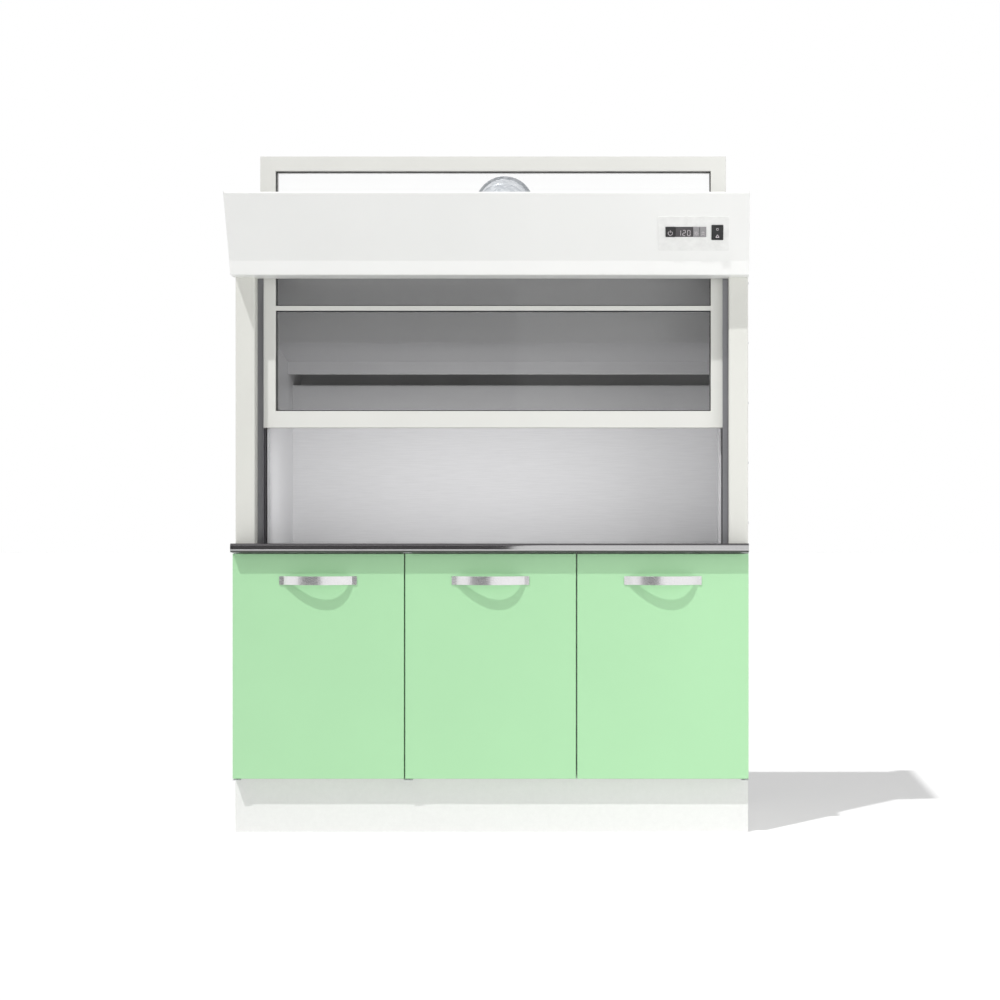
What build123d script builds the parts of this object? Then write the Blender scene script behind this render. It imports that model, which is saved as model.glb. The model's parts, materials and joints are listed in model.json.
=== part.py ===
"""Dental laboratory hood: base cabinet with three doors, worktop, and a ducted hood with a rising sash.

Millimetres. X runs along the width, Y from the door faces to the back, Z up from the floor.
The pieces are modelled with Y = 0 on the door faces. The export moves them, so that the origin of
the written parts is the middle of the footprint, on the floor.
"""

from build123d import *
import math
import os

# Overall sizes
width = 1500.0
cabinet_depth = 750.0
plinth_height = 158.0
plinth_recess = 45.0
worktop_underside = 819.0
canopy_top_height = 1848.0

# Cabinet boards
board = 18.0
back_board = 12.0
rail_depth = 80.0
shelf_height = 480.0
shelf_setback = 60.0
shelf_clearance = 1.0
shelf_pin_radius = 2.5
shelf_pin_depth = 8.0
shelf_pin_clearance = 0.05
shelf_pin_inset = 70.0

# Doors and their furniture
door_count = 3
door_thickness = 20.0
door_gap = 4.0
door_foot_gap = 2.5
door_head_gap = 4.0
door_standoff = 3.0
door_edge_radius = 1.5
pivot_inset = 8.0
pivot_depth = 7.5
pivot_radius = 2.5
pivot_clearance = 0.05
pivot_engagement = 14.0
pivot_hole_end = 1.0
pivot_plate = 2.0
pivot_plate_width = 26.0
handle_width = 225.0
handle_strip_height = 25.0
handle_projection = 42.0
handle_thickness = 3.5
handle_foot = 14.0
handle_drop = 78.0
catch_width = 50.0
catch_height = 14.0
catch_depth = 24.0
catch_clearance = 0.3
catch_from_door_edge = 70.0

# Worktop
worktop_thickness = 26.0
worktop_overhang = 39.0
worktop_edge_radius = 9.0

# Hood casing
sheet = 2.0
casing_bend = 3.0
post_width = 57.0
back_return = 48.0
liner_thickness = 6.0
roof_below_top = 103.0
roof_thickness = 3.0
liner_inside_post = 25.0
liner_clearance = 0.5
liner_edge_radius = 2.0
screw_head_radius = 4.0
screw_head_height = 2.0
screw_head_edge = 1.0
screw_shank_radius = 2.0
screw_length = 6.0
screws_per_side = 6
screw_end_distance = 60.0

# Baffles behind the working space
baffle_sheet = 3.0
baffle_bend = 4.0
baffle_return = 16.0
plenum = 165.0
lower_baffle_below_roof = 407.0
suction_slot = 28.0
lip_projection = 89.0
lip_height = 41.0
hood_throat_below_roof = 299.0

# Sash and guides
sash_rise = 136.0
sash_front = 95.0
sash_thickness = 40.0
stile_width = 45.0
bottom_rail = 49.5
lower_light = 296.0
glazing_bar = 14.0
middle_light = 221.0
transom = 20.0
top_light = 156.0
top_rail = 43.0
sash_wall = 2.0
sash_edge = 1.0
front_lip = 13.0
rebate = 5.0
gasket_reveal = 3.0
gasket_thickness = 4.0
glass = 5.0
glass_clearance = 0.5
bead_depth = 12.0
bead_width = 9.0
guide_sheet = 3.0
guide_lip = 18.5
guide_clearance = 0.5
guide_web_gap = 7.0
guide_below_top = 83.0
glide_clearance = 0.3
glide_height = 40.0
glide_depth = 11.0
glide_rise = 40.0
glide_distance = 180.0
anchor_rise = 7.5
anchor_height = 15.0
anchor_depth = 10.0
anchor_reach = 6.0

# Counterweight gear
cable_radius = 1.5
cable_from_stile = 3.5
cable_end_gap = 0.3
sheave_above_guide = 25.0
sheave_pitch_radius = 16.0
sheave_flange = 2.5
sheave_rim_width = 1.0
sheave_width = 10.0
sheave_hub_radius = 8.0
axle_radius = 4.0
axle_clearance = 0.05
bracket_plate = 3.0
bracket_gap = 16.0
bracket_half_height = 22.0
bracket_inset = 8.0
weight_width = 48.0
weight_depth = 130.0
weight_height = 200.0
weight_above_worktop = 355.0
weight_edge_radius = 4.0
eye_radius = 6.0
eye_height = 12.0

# Canopy
canopy_height = 227.0
fascia_reach = 146.0
fascia_fold_height = 40.0
fascia_fold_lean = 11.5
fascia_return = 20.0
fascia_bend = 3.0
cover_setback = 8.0
sash_slot_gap = 9.0

# Control panel on the leaning fascia, measured along it
panel_from_side = 160.5
panel_below_top = 113.0
plate_width = 204.0
plate_height = 103.0
plate_thickness = 1.5
plate_corner = 4.0
strip_x = -22.0
strip_y = 5.5
strip_height = 30.0
strip_gap = 1.0
key_clearance = 0.4
key_stand = 3.0
key_stem = 8.0
key_stem_length = 26.0
black_key_width = 27.0
display_width = 50.0
display_stand = 0.6
display_thickness = 4.0
grey_key_width = 18.0
key_edge = 0.8
rocker_x = 68.5
rocker_y = 4.0
rocker_width = 25.4
rocker_reach = 18.5
rocker_clearance = 0.3
rocker_angle = 8.0
rocker_crown = 5.0
rocker_depth = 6.0
trunnion_radius = 2.0
trunnion_end_gap = 0.25
trunnion_clearance = 0.05
bezel_wall = 2.0
bezel_flange = 2.0
bezel_flange_stand = 2.0
bezel_depth = 12.0
control_box_width = 190.0
control_box_height = 84.0
control_box_depth = 36.0

# Lamp behind the canopy
lamp_from_liner = 48.0
lamp_behind_guide = 13.5
lamp_to_baffle = 10.0
lamp_width = 88.0
lamp_height = 92.0
lamp_sheet = 1.5
lens_thickness = 3.0
lens_edge_radius = 1.0
tube_radius = 13.0
tube_cap = 20.0

# Exhaust duct and fan
duct_radius = 80.0
duct_sheet = 1.5
duct_depth = 450.0
collar_height = 42.0
collar_tail = 8.0
duct_flange = 12.0
duct_flange_thickness = 3.0
elbow_radius = 110.0
spigot_length = 130.0
impeller_tip_gap = 2.5
impeller_hub_radius = 26.0
impeller_width = 30.0
impeller_setback = 30.0
blade_count = 7
blade_chord = 34.0
blade_thickness = 2.5
blade_corner = 1.0
blade_root_depth = 2.0
blade_root_pitch = 38.0
blade_tip_pitch = 62.0
motor_radius = 34.0
motor_length = 48.0
motor_gap = 6.0
motor_nose_radius = 11.0
strut_count = 3
strut_width = 16.0
strut_thickness = 3.0
strut_from_motor_back = 16.0
shaft_radius = 4.0
shaft_clearance = 0.05
shaft_engagement = 30.0
shaft_end_gap = 1.0
hub_nose_radius = 6.5

# Mains entry on the roof
gland_from_side = 190.0
gland_from_back = 90.0
gland_bore = 5.5
gland_hex = 12.0
gland_hex_height = 8.0
gland_nut_radius = 11.0
gland_nut_height = 20.0
gland_nut_edge = 3.5

# Derived places
half_width = width / 2
inner_half_width = half_width - board
carcass_front = door_thickness + door_standoff
worktop_height = worktop_underside + worktop_thickness
rail_underside = worktop_underside - board
floor_top = plinth_height + board
door_pitch = width / door_count
door_bottom = plinth_height + door_foot_gap
door_top = worktop_underside - door_head_gap
post_front = plinth_recess
roof_height = canopy_top_height - roof_below_top
canopy_bottom = canopy_top_height - canopy_height
guide_web = half_width - post_width
sash_half_width = guide_web - guide_web_gap
sash_top = canopy_top_height + sash_rise
sash_levels = (bottom_rail, lower_light, glazing_bar, middle_light, transom, top_light, top_rail)
sash_bottom = sash_top - sum(sash_levels)
sash_middle = sash_front + sash_thickness / 2
sash_back = sash_front + sash_thickness
guide_front = sash_front - guide_clearance - guide_sheet
guide_back = sash_back + guide_clearance + guide_sheet
guide_top = canopy_top_height - guide_below_top
back_panel_front = cabinet_depth - 2 * sheet
liner_half_opening = guide_web - liner_inside_post
liner_front = guide_back + liner_clearance
lamp_front = guide_back + lamp_behind_guide
lamp_back = lamp_front + lamp_width
lamp_half_length = liner_half_opening - lamp_from_liner
hood_throat_depth = lamp_back + lamp_to_baffle
hood_throat_height = roof_height - hood_throat_below_roof
lower_baffle_depth = back_panel_front - plenum
lower_baffle_top = roof_height - lower_baffle_below_roof
lip_depth = lower_baffle_depth - lip_projection
lip_bottom = lower_baffle_top + suction_slot
lip_top = lip_bottom + lip_height
cable_x = sash_half_width + cable_from_stile
sheave_x = cable_x + sheave_pitch_radius
sheave_height = guide_top + sheave_above_guide
weight_x = cable_x + 2 * sheave_pitch_radius
weight_bottom = worktop_height + weight_above_worktop
slot_front = sash_front - sash_slot_gap
panel_x = half_width - panel_from_side
panel_z = canopy_top_height - panel_below_top
elbow_start = roof_height + roof_thickness + collar_height
elbow_end_depth = duct_depth + elbow_radius
spigot_height = elbow_start + elbow_radius
duct_bore = duct_radius - duct_sheet
gland_x = half_width - gland_from_side
gland_depth = cabinet_depth - gland_from_back

pieces = {}


def keep(name, *shapes):
    """Files the solids of one named piece for the export."""
    solids = [solid for shape in shapes for solid in shape.solids()]
    pieces[name] = solids[0] if len(solids) == 1 else Compound(children=solids)


def slab(x, y, z):
    """A board between its (low, high) limits along each axis."""
    spans = (x, y, z)
    middle = [(low + high) / 2 for low, high in spans]
    return Pos(*middle) * Box(*[high - low for low, high in spans])


def across(x_low, x_high, profile):
    """A (Y, Z) profile extruded along the width."""
    return extrude(Plane.YZ.offset(x_low) * profile, x_high - x_low)


def upright(z_low, z_high, profile):
    """An (X, Y) profile extruded upwards."""
    return extrude(Plane.XY.offset(z_low) * profile, z_high - z_low)


def folded(points, thickness, bend):
    """The section of a folded sheet, from points along the middle of its thickness."""
    return trace(FilletPolyline(*points, radius=bend), thickness)


def rod(centre, radius, length, axis):
    """A round bar that starts at the centre and runs along an axis."""
    return extrude(Plane(origin=centre, z_dir=axis) * Circle(radius), length)


def tube(centre, outer, inner, length, axis):
    """A straight pipe that starts at the centre and runs along an axis."""
    return extrude(Plane(origin=centre, z_dir=axis) * (Circle(outer) - Circle(inner)), length)


def other_side(shape):
    """The same piece on the left, from the one on the right."""
    return mirror(shape, Plane.YZ)


def divider_x(i):
    """The middle of the wall between two bays."""
    return -half_width + i * door_pitch


# Plinth: four boards, and a cross board under each divider, open below


def make_plinth():
    inside = (-inner_half_width, inner_half_width)
    height = (0, plinth_height)
    front = slab(inside, (plinth_recess, plinth_recess + board), height)
    back = slab(inside, (cabinet_depth - board, cabinet_depth), height)
    side = slab((inner_half_width, half_width), (plinth_recess, cabinet_depth), height)
    depth = (plinth_recess + board, cabinet_depth - board)
    crosses = []
    for i in range(1, door_count):
        x = divider_x(i)
        crosses.append(slab((x - board / 2, x + board / 2), depth, height))
    keep("plinth", front, back, side, other_side(side), *crosses)


# Cabinet carcass, with the pins that carry the shelves


def bay_limits():
    """The (left, right) faces of each bay between the sides and the dividers."""
    walls = [-half_width + board]
    for i in range(1, door_count):
        walls += [divider_x(i) - board / 2, divider_x(i) + board / 2]
    walls.append(half_width - board)
    return list(zip(walls[::2], walls[1::2]))


def pin_places():
    """The Y and Z of the pins in one wall."""
    z = shelf_height - shelf_pin_radius
    front = carcass_front + shelf_pin_inset
    back = cabinet_depth - back_board - shelf_pin_inset
    return [(front, z), (back, z)]


def make_carcass():
    inside = (-inner_half_width, inner_half_width)
    depth = (carcass_front, cabinet_depth - back_board)
    sides = []
    for wall in ((-half_width, -inner_half_width), (inner_half_width, half_width)):
        sides.append(slab(wall, (carcass_front, cabinet_depth), (plinth_height, worktop_underside)))
    dividers = []
    for i in range(1, door_count):
        wall = (divider_x(i) - board / 2, divider_x(i) + board / 2)
        dividers.append(slab(wall, depth, (floor_top, rail_underside)))

    pins = []
    hole_cutters = []
    pin_length = 2 * shelf_pin_depth + shelf_clearance
    for left, right in bay_limits():
        for y, z in pin_places():
            for x in (left - shelf_pin_depth, right - shelf_pin_depth - shelf_clearance):
                pins.append(rod((x, y, z), shelf_pin_radius, pin_length, (1, 0, 0)))
            for x in (left - shelf_pin_depth, right):
                hole = shelf_pin_radius + shelf_pin_clearance
                hole_cutters.append(rod((x, y, z), hole, shelf_pin_depth, (1, 0, 0)))

    left_side, right_side = [side - hole_cutters for side in sides]
    keep("cabinet_side_left", left_side)
    keep("cabinet_side_right", right_side)
    keep("dividers", *[divider - hole_cutters for divider in dividers])
    keep("shelf_pins", *pins)
    keep("cabinet_floor", slab(inside, depth, (plinth_height, floor_top)))
    keep("cabinet_back", slab(inside, (depth[1], cabinet_depth), (plinth_height, worktop_underside)))

    top = (rail_underside, worktop_underside)
    front_rail = slab(inside, (carcass_front, carcass_front + rail_depth), top)
    back_rail = slab(inside, (depth[1] - rail_depth, depth[1]), top)
    keep("top_rails", front_rail, back_rail)

    shelves = []
    for left, right in bay_limits():
        span = (left + shelf_clearance, right - shelf_clearance)
        shelf = slab(span, (shelf_setback, depth[1] - shelf_clearance), (shelf_height, shelf_height + board))
        nose = shelf.edges().filter_by(Axis.X).group_by(Axis.Y)[0]
        shelves.append(fillet(nose, door_edge_radius))
    keep("shelves", *shelves)


# Doors that swing on pins in their bottom and top edges


def door_limits(i):
    """The left and right edges of a door. The outer doors are flush with the cabinet."""
    left = -half_width + i * door_pitch
    right = left + door_pitch
    if i > 0:
        left += door_gap / 2
    if i < door_count - 1:
        right -= door_gap / 2
    return left, right


def pivot_x(i):
    """The last door is hung on its right edge, and the others on their left edge."""
    left, right = door_limits(i)
    return right - pivot_inset if i == door_count - 1 else left + pivot_inset


def free_edge_x(i):
    """The middle of the catch near the edge that swings."""
    left, right = door_limits(i)
    return left + catch_from_door_edge if i == door_count - 1 else right - catch_from_door_edge


def make_handle(middle):
    """A strip that bows out between two flat feet, in plan."""
    half = handle_width / 2
    foot = half - handle_foot
    seat = -handle_thickness / 2
    crown = -handle_projection + handle_thickness / 2
    plan = Line((-half, seat), (-foot, seat))
    plan += ThreePointArc((-foot, seat), (0, crown), (foot, seat))
    plan += Line((foot, seat), (half, seat))
    low = door_top - handle_drop - handle_strip_height / 2
    strip = upright(low, low + handle_strip_height, trace(plan, handle_thickness))
    behind_door_face = slab((-half, half), (0, door_thickness), (low, low + handle_strip_height))
    return Pos(middle, 0, 0) * (strip - behind_door_face)


def make_doors():
    names = ("left", "middle", "right")
    pivots = []
    catches = []
    for i, name in enumerate(names[:door_count]):
        left, right = door_limits(i)
        door = slab((left, right), (0, door_thickness), (door_bottom, door_top))
        door = fillet(door.faces().sort_by(Axis.Y)[0].edges(), door_edge_radius)
        x = pivot_x(i)
        hole = pivot_radius + pivot_clearance
        hole_depth = pivot_engagement + pivot_hole_end
        door -= rod((x, pivot_depth, door_bottom), hole, hole_depth, (0, 0, 1))
        door -= rod((x, pivot_depth, door_top), hole, hole_depth, (0, 0, -1))
        keep(f"door_{name}", door)
        keep(f"handle_{name}", make_handle((left + right) / 2))

        plate_x = (x - pivot_plate_width / 2, x + pivot_plate_width / 2)
        if i == 0:
            plate_x = (-half_width, plate_x[1])
        if i == door_count - 1:
            plate_x = (plate_x[0], half_width)
        foot_plate = slab(plate_x, (0, plinth_recess), (plinth_height - pivot_plate, plinth_height))
        foot_length = door_foot_gap + pivot_engagement
        foot_pin = rod((x, pivot_depth, plinth_height), pivot_radius, foot_length, (0, 0, 1))
        head_z = (worktop_underside - pivot_plate, worktop_underside)
        head_plate = slab(plate_x, (-pivot_inset, carcass_front), head_z)
        head_length = door_head_gap - pivot_plate + pivot_engagement
        head_pin = rod((x, pivot_depth, head_z[0]), pivot_radius, head_length, (0, 0, -1))
        pivots += [foot_plate + foot_pin, head_plate + head_pin]

        catch_x = free_edge_x(i)
        catch_y = door_thickness + catch_clearance
        catches.append(slab(
            (catch_x - catch_width / 2, catch_x + catch_width / 2),
            (catch_y, catch_y + catch_depth),
            (rail_underside - catch_height, rail_underside),
        ))
    keep("hinge_pivots", *pivots)
    keep("door_catches", *catches)


# Worktop


def make_worktop():
    depth = (-worktop_overhang, cabinet_depth)
    top = slab((-half_width, half_width), depth, (worktop_underside, worktop_height))
    nose = top.edges().filter_by(Axis.X).group_by(Axis.Y)[0]
    keep("worktop", fillet(nose, worktop_edge_radius))


# Casing, liner and roof of the hood


def make_casing():
    face = post_front + sheet / 2
    skin = half_width - sheet / 2
    inner_edge = guide_web + sheet / 2
    back = back_panel_front - sheet / 2
    section = folded(
        [
            (inner_edge, guide_front),
            (inner_edge, face),
            (skin, face),
            (skin, back),
            (skin - back_return, back),
        ],
        sheet,
        casing_bend,
    )
    casing = upright(worktop_height, canopy_top_height, section)

    panel_y = (back_panel_front, back_panel_front + sheet)
    panel = slab((-half_width, half_width), panel_y, (worktop_height, roof_height))
    screws = []
    first = worktop_height + screw_end_distance
    step = (roof_height - worktop_height - 2 * screw_end_distance) / (screws_per_side - 1)
    for i in range(screws_per_side):
        place = (half_width - back_return / 2, panel_y[1], first + i * step)
        head = rod(place, screw_head_radius, screw_head_height, (0, 1, 0))
        head = fillet(head.faces().sort_by(Axis.Y)[-1].edges(), screw_head_edge)
        shank = rod(place, screw_shank_radius, screw_length, (0, -1, 0))
        casing -= shank
        panel -= [shank, other_side(shank)]
        screws += [head + shank, other_side(head + shank)]
    keep("side_casing_right", casing)
    keep("side_casing_left", other_side(casing))
    keep("back_panel", panel)
    keep("back_screws", *screws)

    wall = (liner_half_opening, liner_half_opening + liner_thickness)
    liner = slab(wall, (liner_front, back_panel_front), (worktop_height, roof_height))
    nose = liner.edges().filter_by(Axis.Z).group_by(Axis.Y)[0]
    liner = fillet(nose, liner_edge_radius)
    keep("side_liners", liner, other_side(liner))

    roof_z = (roof_height, roof_height + roof_thickness)
    roof = slab((-wall[1], wall[1]), (liner_front, back_panel_front + sheet), roof_z)
    roof -= rod((0, duct_depth, roof_height), duct_radius, roof_thickness, (0, 0, 1))
    roof -= rod((gland_x, gland_depth, roof_height), gland_bore, roof_thickness, (0, 0, 1))
    keep("roof_panel", roof)


# Baffles: the gap between them is the suction slot


def make_baffles():
    half = baffle_sheet / 2
    lower = folded(
        [
            (lower_baffle_depth + half, worktop_height),
            (lower_baffle_depth + half, lower_baffle_top - half),
            (lower_baffle_depth + baffle_return, lower_baffle_top - half),
        ],
        baffle_sheet,
        baffle_bend,
    )
    keep("lower_baffle", across(-liner_half_opening, liner_half_opening, lower))

    upper = folded(
        [
            (hood_throat_depth + half, roof_height),
            (hood_throat_depth + half, hood_throat_height),
            (lip_depth + half, lip_top),
            (lip_depth + half, lip_bottom + half),
            (lip_depth + baffle_return, lip_bottom + half),
        ],
        baffle_sheet,
        baffle_bend,
    )
    keep("upper_baffle", across(-liner_half_opening, liner_half_opening, upper))


# Lamp behind the canopy


def make_lamp():
    half = lamp_sheet / 2
    lens_z = roof_height - lamp_height
    section = folded(
        [
            (lamp_front + half, lens_z),
            (lamp_front + half, roof_height - half),
            (lamp_back - half, roof_height - half),
            (lamp_back - half, lens_z),
        ],
        lamp_sheet,
        casing_bend,
    )
    body = across(-lamp_half_length, lamp_half_length, section)
    inside = (lamp_front + lamp_sheet, lamp_back - lamp_sheet)
    for x in (-lamp_half_length, lamp_half_length - tube_cap):
        body += slab((x, x + tube_cap), inside, (lens_z, roof_height - lamp_sheet))
    keep("lamp_housing", body)
    start = (tube_cap - lamp_half_length, (lamp_front + lamp_back) / 2, roof_height - lamp_height / 2)
    keep("lamp_tube", rod(start, tube_radius, -2 * start[0], (1, 0, 0)))
    lens_span = (-lamp_half_length, lamp_half_length)
    lens = slab(lens_span, (lamp_front, lamp_back), (lens_z - lens_thickness, lens_z))
    keep("lamp_lens", fillet(lens.faces().sort_by(Axis.Z)[0].edges(), lens_edge_radius))


# Sash: a welded frame of hollow bars, glazed from behind


def sash_heights():
    """The (bottom, top) of each rail, light and bar of the sash, from the bottom rail up."""
    heights = []
    low = sash_bottom
    for level in sash_levels:
        heights.append((low, low + level))
        low += level
    return heights


def lights():
    """The (bottom, top) of each glazed opening, as seen from the front."""
    return sash_heights()[1::2]


def pane(light, margin, y):
    """A plate that is larger than an opening of the sash by a margin all round."""
    half = sash_half_width - stile_width + margin
    return slab((-half, half), y, (light[0] - margin, light[1] + margin))


def bar_hollows():
    """The hollows of the stiles, the two rails and the transom. The glazing bar is too thin for one."""
    depth = (sash_front + sash_wall, sash_back - sash_wall)
    outer = sash_half_width - sash_wall
    inner = sash_half_width - stile_width + rebate + sash_wall
    low_rail, high_rail = sash_heights()[0], sash_heights()[-1]
    low = (low_rail[0] + sash_wall, low_rail[1] - rebate - sash_wall)
    high = (high_rail[0] + rebate + sash_wall, high_rail[1] - sash_wall)
    middle = [z + (rebate + sash_wall) * side for z, side in zip(sash_heights()[4], (1, -1))]
    stile = slab((inner, outer), depth, (low[0], high[1]))
    rails = [slab((-outer, outer), depth, z) for z in (low, middle, high)]
    return [stile, other_side(stile), *rails]


def make_sash():
    frame = slab((-sash_half_width, sash_half_width), (sash_front, sash_back), (sash_bottom, sash_top))
    frame -= bar_hollows()
    glass_front = sash_front + front_lip + gasket_thickness
    glass_back = glass_front + glass
    rebate_y = (sash_front + front_lip, sash_back)
    gaskets = []
    beads = []
    panes = []
    for light in lights():
        frame -= pane(light, 0, (sash_front, sash_back))
        frame -= pane(light, rebate, rebate_y)
        gasket_y = (rebate_y[0], glass_front)
        gaskets.append(pane(light, rebate, gasket_y) - pane(light, -gasket_reveal, gasket_y))
        bead_y = (glass_back, glass_back + bead_depth)
        beads.append(pane(light, rebate, bead_y) - pane(light, rebate - bead_width, bead_y))
        panes.append(pane(light, rebate - glass_clearance, (glass_front, glass_back)))
    frame = chamfer(frame.faces().sort_by(Axis.Y)[0].edges(), sash_edge)

    anchor = slab(
        (sash_half_width, sash_half_width + anchor_reach),
        (sash_middle - anchor_depth / 2, sash_middle + anchor_depth / 2),
        (sash_bottom + anchor_rise, sash_bottom + anchor_rise + anchor_height),
    )
    keep("sash_frame", frame + anchor + other_side(anchor))
    keep("glazing_gaskets", *gaskets)
    keep("glazing_beads", *beads)
    keep("glass_lower", panes[0])
    keep("glass_middle", panes[1])
    keep("glass_top", panes[2])

    glides = []
    for foot in (sash_bottom + glide_rise, sash_bottom + glide_rise + glide_distance):
        glide = slab(
            (sash_half_width, guide_web - glide_clearance),
            (sash_front + sash_edge, sash_front + sash_edge + glide_depth),
            (foot, foot + glide_height),
        )
        glides += [glide, other_side(glide)]
    keep("sash_glides", *glides)

    section = folded(
        [
            (guide_web + guide_sheet / 2 - guide_lip, guide_front + guide_sheet / 2),
            (guide_web + guide_sheet / 2, guide_front + guide_sheet / 2),
            (guide_web + guide_sheet / 2, guide_back - guide_sheet / 2),
            (guide_web + guide_sheet / 2 - guide_lip, guide_back - guide_sheet / 2),
        ],
        guide_sheet,
        guide_sheet,
    )
    guide = upright(worktop_height, guide_top, section)
    keep("sash_guides", guide, other_side(guide))


# Cables, sheaves and counterweights in the side casings


def make_sheave():
    """A grooved wheel about its own centre, with its axle along Y."""
    rim = sheave_pitch_radius + sheave_flange
    groove = sheave_pitch_radius - cable_radius - cable_end_gap
    half = sheave_width / 2
    hub_half = bracket_gap / 2 - cable_end_gap
    bore = axle_radius + axle_clearance
    outline = Polyline(
        (bore, -hub_half),
        (sheave_hub_radius, -hub_half),
        (sheave_hub_radius, -half),
        (rim, -half),
        (rim, -half + sheave_rim_width),
        (groove, -cable_radius),
        (groove, cable_radius),
        (rim, half - sheave_rim_width),
        (rim, half),
        (sheave_hub_radius, half),
        (sheave_hub_radius, hub_half),
        (bore, hub_half),
        close=True,
    )
    return revolve(Plane.XY * make_face(outline), Axis.Y)


def make_counterweight_gear():
    axle = (sheave_x, sash_middle, sheave_height)
    sheave = Pos(*axle) * make_sheave()
    keep("sheave_right", sheave)
    keep("sheave_left", other_side(sheave))

    skin = half_width - sheet
    near = sheave_x - bracket_inset
    low = sheave_height - bracket_half_height
    high = sheave_height + bracket_half_height
    outside = bracket_gap / 2 + bracket_plate
    bracket = slab((skin - bracket_plate, skin), (sash_middle - outside, sash_middle + outside), (low, high))
    for y in (sash_middle - outside, sash_middle + bracket_gap / 2):
        bracket += slab((near, skin), (y, y + bracket_plate), (low, high))
    bracket += rod((sheave_x, sash_middle - outside, sheave_height), axle_radius, 2 * outside, (0, 1, 0))
    keep("sheave_brackets", bracket, other_side(bracket))

    weight_y = (sash_middle - weight_depth / 2, sash_middle + weight_depth / 2)
    weight_top = weight_bottom + weight_height
    weight_span = (weight_x - weight_width / 2, weight_x + weight_width / 2)
    weight = slab(weight_span, weight_y, (weight_bottom, weight_top))
    weight = fillet(weight.edges().filter_by(Axis.Z), weight_edge_radius)
    weight += rod((weight_x, sash_middle, weight_top), eye_radius, eye_height, (0, 0, 1))
    keep("counterweight_right", weight)
    keep("counterweight_left", other_side(weight))

    anchor_top = sash_bottom + anchor_rise + anchor_height + cable_end_gap
    eye_top = weight_top + eye_height + cable_end_gap
    cable = rod((cable_x, sash_middle, anchor_top), cable_radius, sheave_height - anchor_top, (0, 0, 1))
    cable += rod((weight_x, sash_middle, eye_top), cable_radius, sheave_height - eye_top, (0, 0, 1))
    section = Plane(origin=(cable_x, sash_middle, sheave_height), z_dir=(0, 0, 1)) * Circle(cable_radius)
    cable += revolve(section, Axis(axle, (0, 1, 0)), 180)
    keep("sash_cables", cable, other_side(cable))


# Canopy: a leaning fascia with cheeks, a soffit and a top cover


def fascia_outline():
    """The outer corners of the fascia: end of the foot return, foot, fold, top, end of the top flange."""
    foot = (-worktop_overhang, canopy_bottom)
    fold = (foot[0] - fascia_fold_lean, canopy_bottom + fascia_fold_height)
    top = (-fascia_reach, canopy_top_height)
    return [(foot[0] + fascia_return, foot[1]), foot, fold, top, (top[0] + fascia_return, top[1])]


def inner_line(points, distance):
    """The same line moved to its right by a distance, with its corners kept sharp."""
    spans = [Vector(*end) - Vector(*start) for start, end in zip(points, points[1:])]
    normals = [Vector(span.Y, -span.X).normalized() for span in spans]
    moved = [Vector(*points[0]) + normals[0] * distance]
    for corner, before, after in zip(points[1:-1], normals, normals[1:]):
        moved.append(Vector(*corner) + (before + after) * (distance / (1 + before.dot(after))))
    moved.append(Vector(*points[-1]) + normals[-1] * distance)
    return moved


def panel_plane():
    """The plane on the outside of the leaning fascia, at the middle of the control plate."""
    fold, top = fascia_outline()[2:4]
    lean = math.atan2(fold[0] - top[0], top[1] - fold[1])
    y = fold[0] - (panel_z - fold[1]) * math.tan(lean)
    return Plane(origin=(panel_x, y, panel_z), x_dir=(1, 0, 0), z_dir=(0, -math.cos(lean), -math.sin(lean)))


def strip_spans():
    """The (left, right) limits of the black key, the display and the two grey keys."""
    widths = (black_key_width, display_width, grey_key_width, grey_key_width)
    total = sum(widths) + strip_gap * (len(widths) - 1)
    left = strip_x - total / 2
    spans = []
    for item in widths:
        spans.append((left, left + item))
        left += item + strip_gap
    return spans


def window(x, y, height, low, high):
    """A rectangular block on the panel: x limits, middle height, and its limits off the face."""
    face = Pos((x[0] + x[1]) / 2, y) * Rectangle(x[1] - x[0], height)
    return extrude(panel_plane().offset(low) * face, high - low)


def cover_section():
    """The outline of the soffit and top cover between the posts, open at the front."""
    front = -worktop_overhang + 2 * sheet
    side = half_width - sheet
    right = [(side, front), (side, post_front), (guide_web, post_front), (guide_web, slot_front)]
    left = [(-x, y) for x, y in reversed(right)]
    return [left[-1], *right, *left[:-1]]


def make_canopy():
    side = half_width - sheet
    outline = fascia_outline()
    section = folded(inner_line(outline, sheet / 2), sheet, fascia_bend)
    front = across(-side, side, section)
    foot, fold, top = outline[1:4]
    back = [(post_front, top[1]), (post_front, foot[1])]
    cheek = across(side, half_width, make_face(Polyline(foot, fold, top, *back, close=True)))
    fascia = front + cheek + other_side(cheek)

    spans = strip_spans()
    strip = (spans[0][0] - key_clearance, spans[-1][1] + key_clearance)
    depth = sheet + plate_thickness
    strip_hole = window(strip, strip_y, strip_height + 2 * key_clearance, -depth, depth)
    half_bezel = rocker_width / 2 + rocker_clearance + bezel_wall
    rocker_span = (rocker_x - half_bezel, rocker_x + half_bezel)
    bezel_height = 2 * (rocker_reach + rocker_clearance + bezel_wall)
    rocker_hole = window(rocker_span, rocker_y, bezel_height, -depth, depth)
    keep("fascia", fascia - strip_hole - rocker_hole)

    plate = extrude(panel_plane() * RectangleRounded(plate_width, plate_height, plate_corner), plate_thickness)
    keep("control_plate", plate - strip_hole - rocker_hole)

    soffit_z = canopy_bottom + sheet
    soffit = upright(soffit_z, soffit_z + sheet, make_face(Polyline(*cover_section(), close=True)))
    keep("soffit", soffit)
    cover = cover_section()
    cover[0] = (-side, top[0] + cover_setback)
    cover[1] = (side, top[0] + cover_setback)
    cover_z = canopy_top_height - 2 * sheet
    keep("canopy_cover", upright(cover_z, cover_z + sheet, make_face(Polyline(*cover, close=True))))


# Controls


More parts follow.
